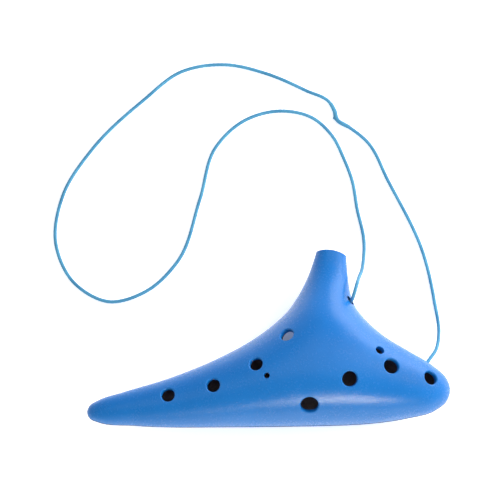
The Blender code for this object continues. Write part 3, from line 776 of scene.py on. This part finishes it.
class Paint:
    """Short way to build a material's nodes."""

    def __init__(self, name):
        self.material = bpy.data.materials.new(name)
        self.material.use_nodes = True
        self.tree = self.material.node_tree
        self.shader = self.tree.nodes["Principled BSDF"]
        self.place = self.add("ShaderNodeTexCoord").outputs["Object"]

    def add(self, kind, **settings):
        node = self.tree.nodes.new(kind)
        for key, value in settings.items():
            setattr(node, key, value)
        return node

    def link(self, source, target):
        self.tree.links.new(source, target)

    def axis(self, letter):
        split = self.add("ShaderNodeSeparateXYZ")
        self.link(self.place, split.inputs["Vector"])
        return split.outputs[letter]

    def noise(self, size_mm, detail=2.0, roughness=0.5, where=None):
        node = self.add("ShaderNodeTexNoise")
        node.inputs["Scale"].default_value = 1.0 / (size_mm * MM)
        node.inputs["Detail"].default_value = detail
        node.inputs["Roughness"].default_value = roughness
        self.link(where or self.place, node.inputs["Vector"])
        return node.outputs["Fac"]

    def spread(self, source, low, high, from_low=0.3, from_high=0.7):
        node = self.add("ShaderNodeMapRange")
        node.inputs["From Min"].default_value = from_low
        node.inputs["From Max"].default_value = from_high
        node.inputs["To Min"].default_value = low
        node.inputs["To Max"].default_value = high
        self.link(source, node.inputs["Value"])
        return node.outputs["Result"]

    def blend(self, factor, first, second):
        node = self.add("ShaderNodeMix", data_type="RGBA")
        self.link(factor, node.inputs["Factor"])
        for socket, colour in ((node.inputs[6], first), (node.inputs[7], second)):
            if isinstance(colour, tuple):
                socket.default_value = (*colour, 1.0)
            else:
                self.link(colour, socket)
        return node.outputs[2]

    def sum(self, first, second, operation="ADD"):
        node = self.add("ShaderNodeMath", operation=operation)
        for socket, value in zip(node.inputs, (first, second)):
            if isinstance(value, (int, float)):
                socket.default_value = value
            else:
                self.link(value, socket)
        return node.outputs[0]

    def bump(self, height, depth_mm, strength=1.0, under=None):
        node = self.add("ShaderNodeBump")
        node.inputs["Strength"].default_value = strength
        node.inputs["Distance"].default_value = depth_mm * MM
        self.link(height, node.inputs["Height"])
        if under:
            self.link(under, node.inputs["Normal"])
        return node.outputs["Normal"]


def moulded_plastic(name, colour, darker, grain_mm):
    """Satin polypropylene from a spark-eroded mould: fine grain, faint flow and handling marks,
    painted shade with less reflection in a line just under the seam, and a dull brown bloom of breath
    inside the chamber."""
    paint = Paint(name)
    flow = paint.noise(FLOW_SIZE, detail=3.0)
    grain = paint.noise(grain_mm, detail=2.0, roughness=0.6)
    pores = paint.noise(grain_mm * 0.4, detail=1.0)
    marks = paint.noise(MARKS_SIZE, detail=6.0, roughness=0.72)
    tone = paint.blend(paint.spread(flow, 0.0, 1.0), colour, darker)
    # Painted shade: a band round the line just under the seam is darkened, as the shade between the
    # two shells.
    over_line = paint.sum(paint.axis("Z"), SEAM_SHADE_HEIGHT * MM, "SUBTRACT")
    painted_seam_shade = paint.spread(paint.sum(over_line, 0.0, "ABSOLUTE"), 1.0, 0.0,
                         from_low=SEAM_SHADE_CORE * MM, from_high=SEAM_SHADE_REACH * MM)
    tone = paint.blend(paint.sum(painted_seam_shade, SEAM_SHADE_SHARE, "MULTIPLY"), tone, SEAM_SHADE_COLOUR)
    inside = paint.add("ShaderNodeAttribute", attribute_name="inside").outputs["Fac"]
    tone = paint.blend(inside, tone, BLOOM_COLOUR)
    # Less reflection in the band of painted seam shade, and on the chamber's inside.
    shine = paint.spread(paint.sum(painted_seam_shade, inside, "MAXIMUM"), 0.5, 0.06, from_low=0.0, from_high=1.0)
    rough = paint.sum(paint.spread(grain, 0.20, 0.30),
                      paint.spread(marks, -0.015, 0.035, from_low=0.45, from_high=0.7))
    height = paint.sum(grain, paint.sum(pores, 0.5, "MULTIPLY"))
    flow_relief = paint.bump(flow, FLOW_DEPTH, strength=0.5)
    relief = paint.bump(height, GRAIN_DEPTH, under=flow_relief)
    paint.link(tone, paint.shader.inputs["Base Color"])
    paint.link(rough, paint.shader.inputs["Roughness"])
    paint.link(relief, paint.shader.inputs["Normal"])
    paint.link(shine, paint.shader.inputs["Specular IOR Level"])
    paint.shader.inputs["IOR"].default_value = PLASTIC_IOR
    return paint.material


def braided_cord(name, colour, darker):
    """Matt polyester braid: fibres, and strands of two close tones."""
    paint = Paint(name)
    fibres = paint.noise(FIBRE_SIZE, detail=2.0)
    length_tone = paint.noise(9.0, detail=2.0)
    tone = paint.blend(paint.spread(length_tone, 0.0, 1.0), colour, darker)
    tone = paint.blend(paint.spread(fibres, 0.0, 0.5), tone, darker)
    paint.link(tone, paint.shader.inputs["Base Color"])
    paint.link(paint.spread(fibres, 0.55, 0.75), paint.shader.inputs["Roughness"])
    relief = paint.bump(fibres, FIBRE_DEPTH, strength=0.7)
    paint.link(relief, paint.shader.inputs["Normal"])
    paint.shader.inputs["Sheen Weight"].default_value = 0.1
    paint.shader.inputs["Specular IOR Level"].default_value = 0.25
    return paint.material


def studio_paper():
    """White paper with a glow that lifts its shadows, except where a hole shows it under the body."""
    paint = Paint("studio_paper")
    speckle = paint.spread(paint.noise(3.0, detail=4.0), 0.0, 1.0)
    tone = paint.blend(speckle, (0.93, 0.93, 0.93), (0.95, 0.95, 0.95))
    paint.link(tone, paint.shader.inputs["Base Color"])
    paint.shader.inputs["Roughness"].default_value = 0.9
    paint.shader.inputs["Specular IOR Level"].default_value = 0.1
    paint.shader.inputs["Emission Color"].default_value = (1.0, 1.0, 1.0, 1.0)
    away = paint.add("ShaderNodeVectorMath", operation="DISTANCE")
    away.inputs[1].default_value = place((*SEEN_THROUGH, -BELLY_DEPTH))
    paint.link(paint.place, away.inputs[0])
    start, whole = UNLIT
    glow = paint.spread(away.outputs["Value"], 0.0, PAPER_GLOW, start * MM, whole * MM)
    paint.link(glow, paint.shader.inputs["Emission Strength"])
    return paint.material


def wear(obj, material):
    """Gives an object one material."""
    obj.data.materials.clear()
    obj.data.materials.append(material)


# ------------------------------------------------------------------ stage

def make_camera():
    """The photograph's camera: nearly overhead, tilted towards the mouthpiece."""
    data = bpy.data.cameras.new("camera")
    camera = bpy.data.objects.new("camera", data)
    bpy.context.collection.objects.link(camera)
    toward = Vector((0, -math.cos(CAMERA_ELEVATION), math.sin(CAMERA_ELEVATION)))
    camera.location = Vector(CAMERA_AIM) + CAMERA_DISTANCE * toward
    camera.rotation_euler = (math.pi / 2 - CAMERA_ELEVATION, 0, 0)
    data.sensor_width = SENSOR
    data.lens = SENSOR * CAMERA_DISTANCE / CAMERA_FIELD
    data.clip_end = 10
    data.dof.use_dof = False
    bpy.context.scene.camera = camera


def softbox(name, azimuth, elevation, distance, width, height, power, colour=(1, 1, 1)):
    """Area light that looks at the middle of the object."""
    data = bpy.data.lights.new(name, "AREA")
    data.shape = "RECTANGLE"
    data.size = width
    data.size_y = height
    data.energy = power
    data.color = colour
    light = bpy.data.objects.new(name, data)
    bpy.context.collection.objects.link(light)
    a, e = math.radians(azimuth), math.radians(elevation)
    direction = Vector((math.cos(a) * math.cos(e), math.sin(a) * math.cos(e), math.sin(e)))
    light.location = LIGHT_AIM + distance * direction
    light.rotation_euler = direction.to_track_quat("Z", "Y").to_euler()
    return light


def make_stage():
    """The paper, the lights and the room round them."""
    mesh = bpy.data.meshes.new("floor")
    r = FLOOR_REACH
    mesh.from_pydata([(-r, -r, 0), (r, -r, 0), (r, r, 0), (-r, r, 0)], [], [(0, 1, 2, 3)])
    floor = new_object("floor", mesh)
    wear(floor, studio_paper())
    softbox("front_box", -78, 26, 1.0, 0.44, 0.09, 3.8, (1.0, 0.88, 0.68))
    softbox("back_window", 50, 13, 0.9, 0.75, 0.42, 2.4)
    softbox("top_box", 70, 78, 1.5, 1.4, 1.4, 3.8)
    fill = softbox("right_fill", 22, 38, 0.75, 0.62, 0.55, 4.5)
    fill.visible_glossy = False
    make_surroundings()
    bpy.context.scene.view_settings.view_transform = "Standard"


def make_surroundings():
    """A room that is bright round the table and dim above it."""
    world = bpy.data.worlds.new("studio")
    world.use_nodes = True
    nodes, links = world.node_tree.nodes, world.node_tree.links
    direction = nodes.new("ShaderNodeTexCoord")
    split = nodes.new("ShaderNodeSeparateXYZ")
    rise = nodes.new("ShaderNodeMapRange")
    rise.inputs["From Min"].default_value = 0.0
    rise.inputs["From Max"].default_value = WORLD_TURN
    rise.inputs["To Min"].default_value = WORLD_AT_HORIZON
    rise.inputs["To Max"].default_value = WORLD_ABOVE
    links.new(direction.outputs["Generated"], split.inputs["Vector"])
    links.new(split.outputs["Z"], rise.inputs["Value"])
    links.new(rise.outputs["Result"], nodes["Background"].inputs["Strength"])
    nodes["Background"].inputs["Color"].default_value = WORLD_COLOUR
    bpy.context.scene.world = world


def main():
    make_camera()
    make_stage()
    plastic = moulded_plastic("satin_blue_plastic", *SHELL_BLUE, SHELL_GRAIN)
    inner_plastic = moulded_plastic("block_blue_plastic", *BLOCK_BLUE, BLOCK_GRAIN)
    cord_blue = braided_cord("blue_braid", *CORD_BLUE)

    upper, lower, end_outward = make_shells()
    for shell, node in ((upper, "upper_shell"), (lower, "lower_shell")):
        wear(shell, plastic)
        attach(shell, "root")
        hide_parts(node)
    wear(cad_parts["windway_block"], inner_plastic)

    # The knots are where the CAD has them: under the neck tunnel and behind the end hole.
    top, under = (Vector(p) for p in NECK_TUNNEL)
    down = (under - top).normalized()
    knots = {}
    for node, axis in (("neck_knot", -down), ("end_knot", end_outward)):
        low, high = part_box(node)
        centre = (Vector(low) + Vector(high)) / 2 / MM + Vector(MIDDLE)
        line = knot_line(centre, axis, *KNOT_LAY[node])
        knot = tube(node + "_braid", line, KNOT_CORD / 2)
        wear(knot, cord_blue)
        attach(knot, "root")
        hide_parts(node)
        knots[node] = (knot, line[0] + np.array(axis) * KNOT_GAP)

    route, splice_from, splice_to = cord_route(knots["neck_knot"][1], knots["end_knot"][1])
    run = lengths(route)
    cord = tube("neck_cord_braid", route, CORD / 2)
    sleeve_line = route[(run >= splice_from) & (run <= splice_to)]
    sleeve = tube("cord_splice_fused", sleeve_line, splice_size(splice_to - splice_from),
                  relief=SPLICE_RELIEF)
    for piece in (cord, sleeve):
        wear(piece, cord_blue)
        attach(piece, "root")
    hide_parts("neck_side_cord", "end_side_cord")
    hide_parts("cord_splice")


main()
